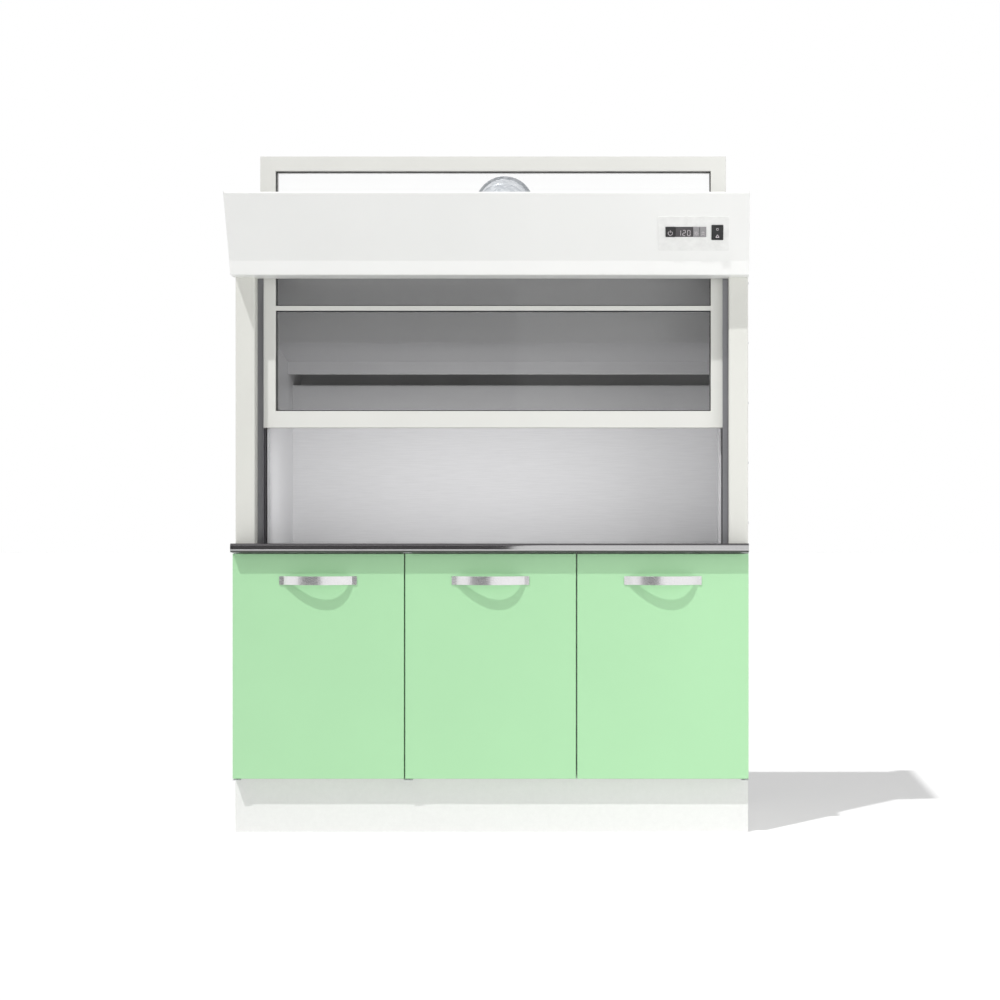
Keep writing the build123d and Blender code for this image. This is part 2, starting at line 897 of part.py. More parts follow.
def make_controls():
    half_width_box = control_box_width / 2
    box_x = (-half_width_box, half_width_box)
    box = window(box_x, 0, control_box_height, -sheet - control_box_depth, -sheet)
    inner_x = (sheet - half_width_box, half_width_box - sheet)
    box -= window(inner_x, 0, control_box_height - 2 * sheet, -control_box_depth, -sheet)
    keep("control_box", box)

    black, display, light, speed = strip_spans()
    stand = plate_thickness + key_stand
    for name, span in (("key_fan", black), ("key_light", light), ("key_speed", speed)):
        key = window(span, strip_y, strip_height, -2 * sheet, stand)
        front_face = key.faces().sort_by(Axis(panel_plane().origin, panel_plane().z_dir))[-1]
        key = fillet(front_face.edges(), key_edge)
        middle = (span[0] + span[1]) / 2
        stem = (middle - key_stem / 2, middle + key_stem / 2)
        keep(name, key + window(stem, strip_y, key_stem, -2 * sheet - key_stem_length, -2 * sheet))
    stand = plate_thickness + display_stand
    glass_block = window(display, strip_y, strip_height, stand - display_thickness, stand)
    foot = (display[0] + key_stem, display[1] - key_stem)
    glass_block += window(foot, strip_y, key_stem, -control_box_depth, stand - display_thickness)
    keep("display_window", glass_block)


def make_rocker():
    """A tilting key on trunnions in its bezel. At rest its lower end stands out."""
    face = panel_plane()
    at = Plane(origin=face.from_local_coords((rocker_x, rocker_y, 0)), x_dir=face.x_dir, z_dir=face.z_dir)
    half_hole = rocker_width / 2 + rocker_clearance
    half_long = rocker_reach + rocker_clearance
    outer = 2 * (half_hole + bezel_wall)
    outer_long = 2 * (half_long + bezel_wall)
    body = extrude(at.offset(-bezel_depth) * Rectangle(outer, outer_long), bezel_depth + plate_thickness)
    flange_plane = at.offset(plate_thickness)
    flange = extrude(
        flange_plane * RectangleRounded(outer + 2 * bezel_flange, outer_long + 2 * bezel_flange, bezel_wall),
        bezel_flange_stand,
    )
    crown = plate_thickness + bezel_flange_stand
    pivot = crown - rocker_crown
    hole_plane = at.offset(-bezel_depth)
    bezel = body + flange - extrude(hole_plane * Rectangle(2 * half_hole, 2 * half_long), bezel_depth + 2 * crown)
    side_on = Plane(origin=at.from_local_coords((0, 0, pivot)), x_dir=at.y_dir, z_dir=at.x_dir)
    bore = extrude(side_on.offset(-outer / 2) * Circle(trunnion_radius + trunnion_clearance), outer)
    keep("rocker_bezel", bezel - bore)

    rise = rocker_reach * math.tan(math.radians(rocker_angle))
    outline = make_face(Polyline(
        (-rocker_reach, -rocker_depth),
        (rocker_reach, -rocker_depth),
        (rocker_reach, rocker_crown + rise),
        (0, rocker_crown),
        (-rocker_reach, rocker_crown + rise),
        close=True,
    ))
    section = Rot(0, 0, -rocker_angle) * (outline & Circle(rocker_reach))
    key = extrude(side_on.offset(-rocker_width / 2) * section, rocker_width)
    pin_length = outer - 2 * trunnion_end_gap
    key += extrude(side_on.offset(-pin_length / 2) * Circle(trunnion_radius), pin_length)
    keep("power_rocker", key)


# Exhaust: collar on the roof, elbow to the back, and a spigot that holds the fan


def make_exhaust():
    up = (0, 0, 1)
    roof_top = roof_height + roof_thickness
    flange_radius = duct_radius + duct_flange
    tail = (0, duct_depth, roof_height - collar_tail)
    collar = tube(tail, duct_radius, duct_bore, collar_tail + roof_thickness + collar_height, up)
    collar += tube((0, duct_depth, roof_top), flange_radius, duct_bore, duct_flange_thickness, up)
    keep("exhaust_collar", collar)

    start = Plane(origin=(0, duct_depth, elbow_start)) * (Circle(duct_radius) - Circle(duct_bore))
    turn = Axis((0, elbow_end_depth, elbow_start), (-1, 0, 0))
    keep("exhaust_elbow", revolve(start, turn, 90))

    mouth = (0, elbow_end_depth, spigot_height)
    spigot = tube(mouth, duct_radius, duct_bore, spigot_length, (0, 1, 0))
    spigot += tube(mouth, flange_radius, duct_bore, duct_flange_thickness, (0, 1, 0))
    keep("exhaust_spigot", spigot)


def make_blade(tip_radius):
    """One twisted blade, lofted from the hub out to the tip along X."""
    section = RectangleRounded(blade_chord, blade_thickness, blade_corner)
    root_radius = impeller_hub_radius - blade_root_depth
    sections = []
    for radius, pitch in ((root_radius, blade_root_pitch), (tip_radius, blade_tip_pitch)):
        plane = Plane(origin=(radius, 0, 0), x_dir=(0, 1, 0), z_dir=(1, 0, 0))
        sections.append(plane * Rot(0, 0, pitch) * section)
    return loft(sections)


def make_fan():
    """The motor is held by struts in the spigot, and the impeller turns behind it."""
    back = elbow_end_depth + spigot_length - impeller_setback
    front = back - impeller_width
    motor_back = front - motor_gap
    motor_front = (0, motor_back - motor_length, 0)
    motor = rod(motor_front, motor_radius, motor_length, (0, 1, 0))
    motor = fillet(motor.faces().sort_by(Axis.Y)[0].edges(), motor_nose_radius)
    strut_y = motor_back - strut_from_motor_back
    strut_depth = (strut_y - strut_width / 2, strut_y + strut_width / 2)
    strut = slab((0, duct_bore), strut_depth, (-strut_thickness / 2, strut_thickness / 2))
    for i in range(strut_count):
        motor += Rot(0, 90 + i * 360 / strut_count, 0) * strut
    motor = motor & rod(motor_front, duct_bore, motor_length, (0, 1, 0))
    hole_depth = shaft_engagement + shaft_end_gap
    hole_end = (0, motor_back - hole_depth, 0)
    motor -= rod(hole_end, shaft_radius + shaft_clearance, hole_depth, (0, 1, 0))
    keep("fan_motor", Pos(0, 0, spigot_height) * motor)

    hub = rod((0, front, 0), impeller_hub_radius, impeller_width, (0, 1, 0))
    hub = fillet(hub.faces().sort_by(Axis.Y)[-1].edges(), hub_nose_radius)
    blade = Pos(0, (front + back) / 2, 0) * make_blade(duct_bore - impeller_tip_gap)
    for i in range(blade_count):
        hub += Rot(0, i * 360 / blade_count, 0) * blade
    shaft_length = shaft_engagement + motor_gap + impeller_width / 2
    hub += rod((0, motor_back - shaft_engagement, 0), shaft_radius, shaft_length, (0, 1, 0))
    keep("fan_impeller", Pos(0, 0, spigot_height) * hub)


# Mains entry


def make_gland():
    roof_top = roof_height + roof_thickness
    body = extrude(Pos(gland_x, gland_depth, roof_top) * RegularPolygon(gland_hex, 6), gland_hex_height)
    nut = rod((gland_x, gland_depth, roof_top + gland_hex_height), gland_nut_radius, gland_nut_height, (0, 0, 1))
    nut = fillet(nut.faces().sort_by(Axis.Z)[-1].edges(), gland_nut_edge)
    height = gland_hex_height + gland_nut_height
    keep("mains_gland", body + nut - rod((gland_x, gland_depth, roof_top), gland_bore, height, (0, 0, 1)))


make_plinth()
make_carcass()
make_doors()
make_worktop()
make_casing()
make_baffles()
make_lamp()
make_sash()
make_counterweight_gear()
make_canopy()
make_controls()
make_rocker()
make_exhaust()
make_fan()
make_gland()

# Export, moved so that the origin is the middle of the footprint

corners = [piece.bounding_box() for piece in pieces.values()]
front_most = min(box.min.Y for box in corners)
back_most = max(box.max.Y for box in corners)
to_origin = Pos(0, -(front_most + back_most) / 2, 0)

os.makedirs("parts", exist_ok=True)
for name, piece in pieces.items():
    export_step(to_origin * piece, f"parts/{name}.step")
print("pieces", len(pieces))
print("footprint middle behind the door faces", round((front_most + back_most) / 2, 4))
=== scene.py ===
"""Looks of the dental laboratory hood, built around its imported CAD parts.

Metres, in the frame of the CAD parts: X to the right, Y from the doors to the back, Z up from the floor.
"""

import json
import math

import bmesh
import bpy
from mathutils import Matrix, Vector


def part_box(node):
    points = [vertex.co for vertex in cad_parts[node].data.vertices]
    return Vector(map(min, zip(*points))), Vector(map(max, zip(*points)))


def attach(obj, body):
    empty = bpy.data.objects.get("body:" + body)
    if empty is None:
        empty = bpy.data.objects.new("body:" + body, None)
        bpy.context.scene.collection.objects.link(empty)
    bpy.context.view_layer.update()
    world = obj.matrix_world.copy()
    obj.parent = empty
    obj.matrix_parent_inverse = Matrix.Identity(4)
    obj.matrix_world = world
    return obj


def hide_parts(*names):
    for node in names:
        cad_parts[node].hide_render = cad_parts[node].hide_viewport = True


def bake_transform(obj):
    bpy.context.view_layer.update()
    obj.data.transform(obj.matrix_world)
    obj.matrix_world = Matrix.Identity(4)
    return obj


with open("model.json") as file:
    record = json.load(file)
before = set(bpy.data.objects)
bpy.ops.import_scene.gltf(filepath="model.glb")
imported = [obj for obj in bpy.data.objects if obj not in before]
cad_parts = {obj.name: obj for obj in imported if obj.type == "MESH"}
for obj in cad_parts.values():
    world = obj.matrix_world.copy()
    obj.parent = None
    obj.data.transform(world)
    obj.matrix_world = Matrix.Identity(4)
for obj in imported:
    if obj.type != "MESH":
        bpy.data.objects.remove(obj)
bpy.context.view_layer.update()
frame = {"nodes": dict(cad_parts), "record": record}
nodes = frame["nodes"]
joints = {joint["name"]: joint for joint in frame["record"]["behaviour"]["joints"]}

# Photograph: where the camera stood, and the pixel that it pointed at
DOOR_FACE_Y = -0.302
CAMERA_DISTANCE = 7.0
CAMERA_X = 0.5507
CAMERA_Z = 0.9128
IMAGE_SIZE = 1000
AIM_PIXEL = (680, 520)
LENS = 86.7
SENSOR = 36.0

# Sun: from the upper left, in front of the object
SUN_RAY = (0.62, 1.0, -1.78)
SUN_STRENGTH = 1.62
SUN_ANGLE = 0.02

# Surround and floor: what they give to the object, which is less than they show to the camera
AMBIENT = 0.54
FLOOR_BOUNCE = 0.84
FLOOR_LIFT = 0.05
FLOOR_HALF_SIZE = 60.0

# Two soft lamps that no camera, mirror or pane sees: on the front right, and in the working space
FILL_POWER = 40.0
FILL_SIZE = (2.5, 2.5)
FILL_PLACE = (3.3, -3.0, 1.1)
FILL_AIM = (0.5, 0.0, 1.3)
CHAMBER_POWER = 1.6
CHAMBER_SIZE = (1.2, 0.3)
CHAMBER_PLACE = (0.0, -0.15, 1.0)
CHAMBER_AIM = (0.0, 0.28, 1.0)

# Reflections: a dark card to the left of the camera, seen in glass and metal alone
CARD_EDGE_X = -0.42
CARD_Y = -7.3
CARD_SIZE = 8.0
CARD_FOOT = 0.01
CARD_TONE = 0.05


# Material helpers


class Paint:
    """A material under construction: its node tree, and short calls that add and link nodes."""

    def __init__(self, name):
        self.material = bpy.data.materials.new(name)
        self.material.use_nodes = True
        self.tree = self.material.node_tree
        self.shader = self.tree.nodes["Principled BSDF"]
        self.coords = self.add("ShaderNodeTexCoord")

    def add(self, kind, **values):
        node = self.tree.nodes.new(kind)
        for key, value in values.items():
            if key in node.inputs:
                node.inputs[key].default_value = value
            else:
                setattr(node, key, value)
        return node

    def link(self, source, target):
        self.tree.links.new(source, target)

    def set(self, **values):
        for key, value in values.items():
            self.shader.inputs[key.replace("_", " ")].default_value = value

    def place(self, scale=(1, 1, 1)):
        """Object coordinates, stretched along the axes."""
        mapping = self.add("ShaderNodeMapping")
        mapping.inputs["Scale"].default_value = scale
        self.link(self.coords.outputs["Object"], mapping.inputs["Vector"])
        return mapping.outputs["Vector"]

    def noise(self, size, detail=3.0, stretch=(1, 1, 1), roughness=0.5):
        """Noise whose grains are about this many metres across."""
        node = self.add("ShaderNodeTexNoise", Scale=1 / size, Detail=detail, Roughness=roughness)
        self.link(self.place(stretch), node.inputs["Vector"])
        return node.outputs["Fac"]

    def cells(self, size):
        """Cells about this many metres across."""
        node = self.add("ShaderNodeTexVoronoi", Scale=1 / size)
        self.link(self.place(), node.inputs["Vector"])
        return node

    def ramp(self, source, stops):
        """Colours between (place, colour) stops."""
        node = self.add("ShaderNodeValToRGB")
        elements = node.color_ramp.elements
        while len(elements) < len(stops):
            elements.new(0.5)
        for element, (at, color) in zip(elements, stops):
            element.position = at
            element.color = (*color, 1)
        self.link(source, node.inputs["Fac"])
        return node.outputs["Color"]

    def spread(self, source, low, high, start=0.0, end=1.0):
        """A value between start and end, moved to between low and high."""
        node = self.add("ShaderNodeMapRange")
        node.inputs["From Min"].default_value = start
        node.inputs["From Max"].default_value = end
        node.inputs["To Min"].default_value = low
        node.inputs["To Max"].default_value = high
        self.link(source, node.inputs["Value"])
        return node.outputs["Result"]

    def vary_color(self, source, color, amount):
        """The colour, made a little darker and lighter by the source."""
        dark = [channel * (1 - amount) for channel in color]
        light = [min(1.0, channel * (1 + amount)) for channel in color]
        self.link(self.ramp(source, [(0.3, dark), (0.7, light)]), self.shader.inputs["Base Color"])

    def vary_roughness(self, source, low, high):
        self.link(self.spread(source, low, high), self.shader.inputs["Roughness"])

    def bump(self, *layers, edge=0.0008):
        """Height layers as (source, metres), on top of edges softened by a small radius."""
        normal = self.add("ShaderNodeBevel", Radius=edge, samples=4).outputs["Normal"]
        for source, height in layers:
            node = self.add("ShaderNodeBump", Strength=1.0, Distance=height)
            self.link(source, node.inputs["Height"])
            self.link(normal, node.inputs["Normal"])
            normal = node.outputs["Normal"]
        self.link(normal, self.shader.inputs["Normal"])


def powder_coat(name, color, roughness=0.42):
    """Powder coated sheet: fine orange peel over a slow change of gloss."""
    paint = Paint(name)
    peel = paint.noise(0.0016, 2.0)
    cloud = paint.noise(0.22, 3.0)
    paint.vary_color(cloud, color, 0.012)
    paint.vary_roughness(cloud, roughness - 0.06, roughness + 0.06)
    paint.set(IOR=1.45)
    paint.bump((peel, 0.00006))
    return paint.material


def laminate(name, color):
    """Smooth pressed laminate on board: a fine pebble grain and a faint cloudy tone."""
    paint = Paint(name)
    grain = paint.noise(0.0008, 2.0)
    cloud = paint.noise(0.35, 4.0)
    paint.vary_color(cloud, color, 0.014)
    paint.vary_roughness(grain, 0.25, 0.37)
    paint.bump((grain, 0.00002), edge=0.0006)
    return paint.material


def melamine(name, color):
    """Melamine faced board: a matt pebbled skin with a sparse fleck."""
    paint = Paint(name)
    pebble = paint.cells(0.0022).outputs["Distance"]
    fleck = paint.noise(0.012, 6.0, roughness=0.7)
    paint.vary_color(fleck, color, 0.02)
    paint.vary_roughness(fleck, 0.5, 0.62)
    paint.bump((pebble, 0.00005))
    return paint.material


def compact_panel(name, color):
    """Grey compact laminate of the chamber, with a fine horizontal grain."""
    paint = Paint(name)
    grain = paint.noise(0.004, 5.0, stretch=(0.06, 1, 1.6), roughness=0.6)
    pebble = paint.noise(0.0012, 2.0)
    paint.vary_color(grain, color, 0.035)
    paint.vary_roughness(grain, 0.36, 0.5)
    paint.bump((pebble, 0.00003), (grain, 0.00002))
    return paint.material


def worktop_stone(name):
    """Dark polished resin over a faint mineral fleck. Its flat front face is the part that mirrors."""
    paint = Paint(name)
    fleck = paint.cells(0.0016).outputs["Color"]
    cloud = paint.noise(0.003, 8.0, roughness=0.75)
    tones = [(0.35, (0.046, 0.042, 0.046)), (0.55, (0.062, 0.056, 0.062)), (0.8, (0.11, 0.10, 0.11))]
    paint.link(paint.ramp(cloud, tones), paint.shader.inputs["Base Color"])
    paint.vary_roughness(paint.noise(0.05, 4.0), 0.035, 0.055)
    paint.set(IOR=3.0)
    split = paint.add("ShaderNodeSeparateXYZ")
    paint.link(paint.add("ShaderNodeNewGeometry").outputs["Normal"], split.inputs["Vector"])
    polish = paint.spread(split.outputs["Y"], 1.0, 0.08, start=-0.97, end=-0.85)
    paint.link(polish, paint.shader.inputs["Specular IOR Level"])
    paint.bump((fleck, 0.000001), edge=0.0012)
    return paint.material


def brushed_metal(name, color, roughness=0.26, along=(0.02, 1, 1)):
    """Satin metal, brushed along one axis."""
    paint = Paint(name)
    brush = paint.noise(0.0008, 4.0, stretch=along, roughness=0.6)
    paint.vary_color(brush, color, 0.05)
    paint.vary_roughness(brush, roughness - 0.07, roughness + 0.09)
    paint.set(Metallic=1.0)
    paint.bump((brush, 0.000012), edge=0.0005)
    return paint.material


def zinc_plate(name, color=(0.62, 0.63, 0.64)):
    """Zinc plated hardware: bright, slightly cloudy."""
    paint = Paint(name)
    cloud = paint.noise(0.006, 5.0, roughness=0.65)
    paint.vary_color(cloud, color, 0.10)
    paint.vary_roughness(cloud, 0.24, 0.42)
    paint.set(Metallic=1.0)
    paint.bump((cloud, 0.00002), edge=0.0004)
    return paint.material


def galvanised(name):
    """Galvanised duct sheet with its crystal spangle."""
    paint = Paint(name)
    crystals = paint.cells(0.011)
    fine = paint.noise(0.003, 5.0, roughness=0.7)
    tones = [(0.1, (0.50, 0.53, 0.57)), (0.9, (0.74, 0.76, 0.79))]
    paint.link(paint.ramp(crystals.outputs["Color"], tones), paint.shader.inputs["Base Color"])
    paint.vary_roughness(crystals.outputs["Color"], 0.24, 0.44)
    paint.set(Metallic=0.9)
    paint.bump((fine, 0.00003), (crystals.outputs["Distance"], 0.00002))
    return paint.material


def glass(name, tone, alpha, ior):
    """A pane seen through: each face lets part of the light straight through, and mirrors a little."""
    paint = Paint(name)
    film = paint.noise(0.18, 4.0, stretch=(1, 1, 0.35))
    paint.vary_color(film, tone, 0.15)
    paint.vary_roughness(film, 0.012, 0.03)
    paint.set(IOR=ior, Alpha=alpha)
    paint.material.surface_render_method = "BLENDED"
    return paint.material


def rubber(name):
    """Extruded black gasket, matt, with fine die lines along it."""
    paint = Paint(name)
    line = paint.noise(0.0006, 3.0, stretch=(0.2, 1, 0.2))
    paint.vary_color(line, (0.018, 0.018, 0.019), 0.3)
    paint.vary_roughness(line, 0.62, 0.85)
    paint.bump((line, 0.00003), edge=0.0004)
    return paint.material


def plastic(name, color, roughness=0.42, grain=0.00005):
    """Moulded plastic with a fine spark eroded texture."""
    paint = Paint(name)
    pebble = paint.cells(0.0007).outputs["Distance"]
    cloud = paint.noise(0.02, 3.0)
    paint.vary_color(cloud, color, 0.05)
    paint.vary_roughness(cloud, roughness - 0.05, roughness + 0.08)
    paint.bump((pebble, grain), edge=0.0005)
    return paint.material


def cast_iron(name):
    """Primed cast iron: a coarse sand skin."""
    paint = Paint(name)
    sand = paint.noise(0.0022, 8.0, roughness=0.7)
    paint.vary_color(sand, (0.050, 0.052, 0.056), 0.35)
    paint.vary_roughness(sand, 0.6, 0.8)
    paint.set(Metallic=0.2)
    paint.bump((sand, 0.0004), edge=0.0015)
    return paint.material


def opal(name, glow):
    """Opal diffuser with fine prisms across it, faintly lit."""
    paint = Paint(name)
    prism = paint.add("ShaderNodeTexWave", Scale=60.0, wave_type="BANDS", bands_direction="X")
    paint.link(paint.place(), prism.inputs["Vector"])
    paint.set(Base_Color=(0.88, 0.88, 0.87, 1), Roughness=0.5, IOR=1.45)
    paint.set(Emission_Color=(1.0, 0.99, 0.97, 1), Emission_Strength=glow)
    paint.bump((prism.outputs["Fac"], 0.0002))
    return paint.material


MATERIALS = {
    "white_paint": powder_coat("white_paint", (0.95, 0.95, 0.935)),
    "casing_paint": powder_coat("casing_paint", (0.755, 0.755, 0.71)),
    "plinth_board": melamine("plinth_board", (0.87, 0.87, 0.855)),
    "mint_front": laminate("mint_front", (0.445, 0.765, 0.445)),
    "carcass_board": melamine("carcass_board", (0.80, 0.80, 0.785)),
    "worktop_resin": worktop_stone("worktop_resin"),
    "handle_metal": brushed_metal("handle_metal", (0.80, 0.79, 0.80)),
    "liner_panel": compact_panel("liner_panel", (0.82, 0.82, 0.83)),
    "sash_paint": powder_coat("sash_paint", (0.78, 0.78, 0.745), 0.36),
    "bead_white": plastic("bead_white", (0.80, 0.80, 0.79), 0.4, 0.00002),
    "guide_dark": brushed_metal("guide_dark", (0.27, 0.27, 0.285), 0.36, (1, 1, 0.02)),
    "tinted_glass": glass("tinted_glass", (0.020, 0.020, 0.022), 0.24, 1.55),
    "clear_glass": glass("clear_glass", (0.80, 0.84, 0.82), 0.03, 1.45),
    "black_rubber": rubber("black_rubber"),
    "grey_glide": plastic("grey_glide", (0.62, 0.62, 0.60), 0.35),
    "steel_zinc": zinc_plate("steel_zinc"),
    "cast_weight": cast_iron("cast_weight"),
    "cable_steel": zinc_plate("cable_steel", (0.50, 0.50, 0.51)),
    "duct_steel": galvanised("duct_steel"),
    "fan_plastic": plastic("fan_plastic", (0.020, 0.020, 0.022), 0.38),
    "key_black": plastic("key_black", (0.016, 0.016, 0.017), 0.30, 0.00002),
    "key_grey": plastic("key_grey", (0.32, 0.31, 0.32), 0.40, 0.00002),
    "display_dark": plastic("display_dark", (0.075, 0.070, 0.074), 0.10, 0.0),
    "plate_white": plastic("plate_white", (0.90, 0.90, 0.885), 0.45, 0.00002),
    "lamp_opal": opal("lamp_opal", 0.15),
    "black_plastic": plastic("black_plastic", (0.022, 0.022, 0.023), 0.45),
    "mark_pale": plastic("mark_pale", (0.72, 0.66, 0.69), 0.45, 0.0),
}

# Nodes whose paint or board differs a little from the rest of their slot
OWN_LOOKS = {
    "plinth": "plinth_board",
    "side_casing_left": "casing_paint",
    "side_casing_right": "casing_paint",
}

for part in frame["record"]["subparts"]:
    node = nodes[part["node"]]
    look = OWN_LOOKS.get(part["node"], part["material_slot"])
    node.data.materials.clear()
    node.data.materials.append(MATERIALS[look])


# Mesh helpers


def piece(name, mesh, slot, body, material=None):
    """Turns a bmesh into a named piece that rides on a body."""
    bmesh.ops.recalc_face_normals(mesh, faces=mesh.faces)
    data = bpy.data.meshes.new(name)
    mesh.to_mesh(data)
    mesh.free()
    made = bpy.data.objects.new(name, data)
    bpy.context.scene.collection.objects.link(made)
    data.materials.append(MATERIALS[material or slot])
    data.shade_smooth()
    data.set_sharp_from_angle(angle=math.radians(35))
    if body is not None:
        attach(made, body)
    return made


def add_ring(mesh, points):
    return [mesh.verts.new(point) for point in points]


def skin_rings(mesh, rings, closed=False):
    """Quads between rings of as many points each, with caps at the ends unless the rings close."""
    pairs = list(zip(rings, rings[1:]))
    if closed:
        pairs.append((rings[-1], rings[0]))
    for low, high in pairs:
        for i in range(len(low)):
            j = (i + 1) % len(low)
            mesh.faces.new((low[i], low[j], high[j], high[i]))
    if not closed:
        mesh.faces.new(list(reversed(rings[0])))
        mesh.faces.new(rings[-1])


def turned(mesh, at, axis, profile, sides):
    """A solid of revolution: profile is (height, radius) pairs along the axis from the point."""
    turn = Vector(axis).normalized().to_track_quat("Z", "Y").to_matrix()
    rings = []
    for height, radius in profile:
        ring = []
        for k in range(sides):
            angle = 2 * math.pi * k / sides
            point = Vector((radius * math.cos(angle), radius * math.sin(angle), height))
            ring.append(Vector(at) + turn @ point)
        rings.append(add_ring(mesh, ring))
    skin_rings(mesh, rings)


# Cables: a laid wire rope in three runs on each side

CABLE_RADIUS = 0.0015
STRANDS = 6
POINTS_PER_STRAND = 4
GROOVE_SHARE = 0.808
LAY_PITCH = 0.016
CABLE_STEP = 0.0016


def rope_ring(centre, side, lift, turn):
    """The section of a wire rope: a ring of strands, turned by the lay."""
    points = []
    count = STRANDS * POINTS_PER_STRAND
    for k in range(count):
        angle = 2 * math.pi * k / count
        bulge = abs(math.cos(STRANDS * angle / 2))
        radius = CABLE_RADIUS * (GROOVE_SHARE + (1 - GROOVE_SHARE) * bulge)
        points.append(centre + radius * (math.cos(angle + turn) * side + math.sin(angle + turn) * lift))
    return points


def straight_rope(mesh, x, y, low, high):
    """An upright run."""
    steps = int((high - low) / CABLE_STEP)
    side, lift = Vector((1, 0, 0)), Vector((0, 1, 0))
    rings = []
    for i in range(steps + 1):
        z = low + (high - low) * i / steps
        turn = 2 * math.pi * z / LAY_PITCH
        rings.append(add_ring(mesh, rope_ring(Vector((x, y, z)), side, lift, turn)))
    skin_rings(mesh, rings)


def wrapped_rope(mesh, x, y, z, radius):
    """The half turn over a sheave."""
    steps = int(math.pi * radius / CABLE_STEP)
    rings = []
    for i in range(steps + 1):
        angle = math.pi * i / steps
        out = Vector((math.cos(angle), 0, math.sin(angle)))
        centre = Vector((x, y, z)) + radius * out
        turn = radius * angle * 2 * math.pi / LAY_PITCH
        rings.append(add_ring(mesh, rope_ring(centre, out, Vector((0, 1, 0)), turn)))
    skin_rings(mesh, rings)


def make_cables():
    for side, sign in (("left", -1), ("right", 1)):
        x, y, z = joints[f"sheave_{side}_spin"]["pos_m"]
        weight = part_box(f"counterweight_{side}")
        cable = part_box("sash_cables")
        pitch = cable[1].x - CABLE_RADIUS - abs(x)
        sash_end = cable[0].z
        weight_end = weight[1].z
        sash_x = x - sign * pitch
        weight_x = x + sign * pitch
        run = bmesh.new()
        straight_rope(run, sash_x, y, sash_end, z)
        sash_run = piece(f"cable_{side}_sash_run", run, "cable_steel", None)
        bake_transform(sash_run)
        run = bmesh.new()
        straight_rope(run, weight_x, y, weight_end, z)
        weight_run = piece(f"cable_{side}_weight_run", run, "cable_steel", None)
        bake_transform(weight_run)
        wrap = bmesh.new()
        wrapped_rope(wrap, x, y, z, pitch)
        over = piece(f"cable_{side}_over_sheave", wrap, "cable_steel", "frame")
        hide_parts("sash_cables")


make_cables()


# Marks on the controls: flat inlays that lie on the face of a CAD node

MARK_LIFT = 0.00006
MARK_DEPTH = 0.0003
MARK_RAY_START = 0.1
ARC_STEPS = 28

DIGITS = "120"
DIGIT_PITCH = 0.0135
DIGIT_WIDTH = 0.0075
DIGIT_HEIGHT = 0.0165
SEGMENT_WIDTH = 0.0014
SEGMENTS = {"0": "abcdef", "1": "bc", "2": "abged"}

LIGHT_RAYS = 8
LIGHT_RAY_REACH = 0.0058
ROCKER_MARK_REACH = 0.0095

panel_out = -Vector(joints["key_fan_press"]["axis"])
panel_right = Vector((1, 0, 0))
panel_up = panel_out.cross(panel_right)


def mark_face(node, x=0.0, y=0.0):
    """A place on a control, offset from its middle along the panel, with the face's right, up and out."""
    control = nodes[node]
    low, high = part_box(node)
    start = (low + high) / 2 + MARK_RAY_START * panel_out + x * panel_right + y * panel_up
    into = control.matrix_world.inverted()
    hit, place, normal, _ = control.ray_cast(into @ start, (into.to_3x3() @ -panel_out).normalized())
    assert hit, node
    out = (control.matrix_world.to_3x3() @ normal).normalized()
    up = out.cross(panel_right).normalized()
    return control.matrix_world @ place, panel_right, up, out


def mark_bar(mesh, face, x, y, width, height, turn=0.0):
    """A flat bar at (x, y) on a face, turned about the face's normal."""
    place, right, up, out = face
    middle = place + x * right + y * up
    half_width = width / 2 * (math.cos(turn) * right + math.sin(turn) * up)
    half_height = height / 2 * (math.cos(turn) * up - math.sin(turn) * right)
    rings = []
    for lift in (MARK_LIFT - MARK_DEPTH, MARK_LIFT):
        corners = []
        for across, along in ((-1, -1), (1, -1), (1, 1), (-1, 1)):
            corners.append(middle + lift * out + across * half_width + along * half_height)
        rings.append(add_ring(mesh, corners))
    skin_rings(mesh, rings)


def mark_arms(mesh, face, y, reach, length, width, slope):
    """Two bars that lean together, as in a roof."""
    for side in (-1, 1):
        mark_bar(mesh, face, side * reach, y, length, width, -side * math.radians(slope))


def mark_arc(mesh, face, radius, width, start=0, end=359):
    """A flat arc about the middle of a face, in degrees from its right."""
    place, right, up, out = face
    rings = []
    for i in range(ARC_STEPS + 1):
        angle = math.radians(start + (end - start) * i / ARC_STEPS)
        ray = math.cos(angle) * right + math.sin(angle) * up
        ring = []
        for reach, depth in ((-0.5, 0), (0.5, 0), (0.5, 1), (-0.5, 1)):
            ring.append(place + (radius + reach * width) * ray + (MARK_LIFT - depth * MARK_DEPTH) * out)
        rings.append(add_ring(mesh, ring))
    skin_rings(mesh, rings)


def mark_digit(mesh, face, x, digit):
    """A seven segment digit."""
    half = DIGIT_WIDTH / 2
    quarter = DIGIT_HEIGHT / 4
    upright = (SEGMENT_WIDTH, DIGIT_HEIGHT / 2 - SEGMENT_WIDTH)
    flat = (DIGIT_WIDTH - SEGMENT_WIDTH, SEGMENT_WIDTH)
    bars = {
        "a": (0, 2 * quarter, *flat),
        "b": (half, quarter, *upright),
        "c": (half, -quarter, *upright),
        "d": (0, -2 * quarter, *flat),
        "e": (-half, -quarter, *upright),
        "f": (-half, quarter, *upright),
        "g": (0, 0, *flat),
    }
    for name in SEGMENTS[digit]:
        across, height, width, tall = bars[name]
        mark_bar(mesh, face, x + across, height, width, tall)


def make_display_digits():
    mesh = bmesh.new()
    face = mark_face("display_window")
    for k, digit in enumerate(DIGITS):
        mark_digit(mesh, face, (k - (len(DIGITS) - 1) / 2) * DIGIT_PITCH, digit)
    piece("display_digits", mesh, "key_grey", "frame", "mark_pale")


